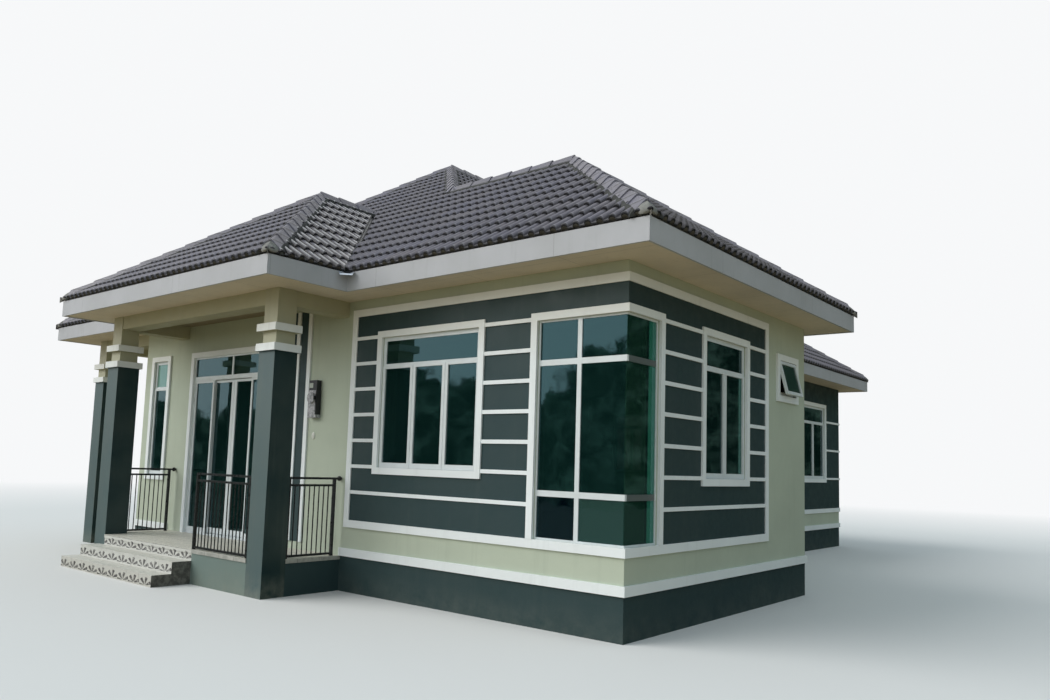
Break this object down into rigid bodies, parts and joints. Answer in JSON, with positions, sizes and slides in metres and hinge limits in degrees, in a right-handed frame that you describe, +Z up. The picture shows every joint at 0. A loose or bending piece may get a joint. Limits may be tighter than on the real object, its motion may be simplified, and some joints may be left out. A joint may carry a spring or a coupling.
{
  "type": "bungalow",
  "caption": "single-storey bungalow with hipped roll-tile roofs, entrance porch with steps and sliding glass doors, glazed corner and side verandah",
  "frame": {"origin": "middle of the roofs' plan, on the ground that the house stands on", "axes": "+X to the right along the entrance front, +Y from the front to the back, +Z up"},
  "size_m": [11.648, 14.548, 6.9775],
  "materials": {
    "wall_render": "matt light sage-green painted render",
    "dark_render": "satin dark slate-green painted render",
    "column_render": "dark slate-green painted render with white rings and a light neck",
    "white_trim": "white painted render trim",
    "white_aluminium": "white powder-coated window bars",
    "window_glass": "green-tinted reflective glass",
    "roof_tiles": "charcoal-brown roll tiles with mortared caps",
    "black_steel": "gloss black painted steel",
    "porch_stone": "grey tiles on a rendered base",
    "ceiling_boards": "cream painted boards",
    "white_board": "white painted board",
    "meter_plastic": "grey moulded box with a clear dial cover"
  },
  "bodies": {
    "house": {"base_slab": "dark_render", "plinth_band": "white_trim", "front_wall_left": "wall_render", "front_wall_over_door": "wall_render", "front_wall_right": "wall_render", "right_wall": "wall_render", "wing_rear_wall": "wall_render", "main_side_wall": "wall_render", "rear_wall": "wall_render", "left_wall": "wall_render", "dark_render": "dark_render", "facade_strips": "white_trim", "upright_stripes": "white_trim", "window_surrounds": "white_trim", "window_frames": "white_aluminium", "corner_window_frame": "white_aluminium", "window_glass": "window_glass", "bathroom_sash": "white_aluminium", "door_surround": "white_trim", "door_frame": "white_aluminium", "left_fixed_leaf": "white_aluminium", "right_fixed_leaf": "white_aluminium", "door_glass": "window_glass", "porch_floor": "porch_stone", "lower_step": "porch_stone", "upper_step": "porch_stone", "right_column": "column_render", "left_column": "column_render", "verandah_columns": "column_render", "porch_beams": "wall_render", "verandah_beams": "wall_render", "front_railing": "black_steel", "right_railing": "black_steel", "left_railing": "black_steel", "ceiling": "ceiling_boards", "fascia": "white_board", "main_roof": "roof_tiles", "wing_roof": "roof_tiles", "porch_roof": "roof_tiles", "ridge_caps": "roof_tiles", "meter_box": "meter_plastic"},
    "left_leaf": {"left_sliding_leaf": "white_aluminium", "left_leaf_glass": "window_glass"},
    "right_leaf": {"right_sliding_leaf": "white_aluminium", "right_leaf_glass": "window_glass"}
  },
  "joints": [
    {"name": "left_leaf_slide", "type": "slide", "parent": "house", "child": "left_leaf", "axis": [-1, 0, 0], "range_m": [0, 0.435]},
    {"name": "right_leaf_slide", "type": "slide", "parent": "house", "child": "right_leaf", "axis": [1, 0, 0], "range_m": [0, 0.435]}
  ]
}
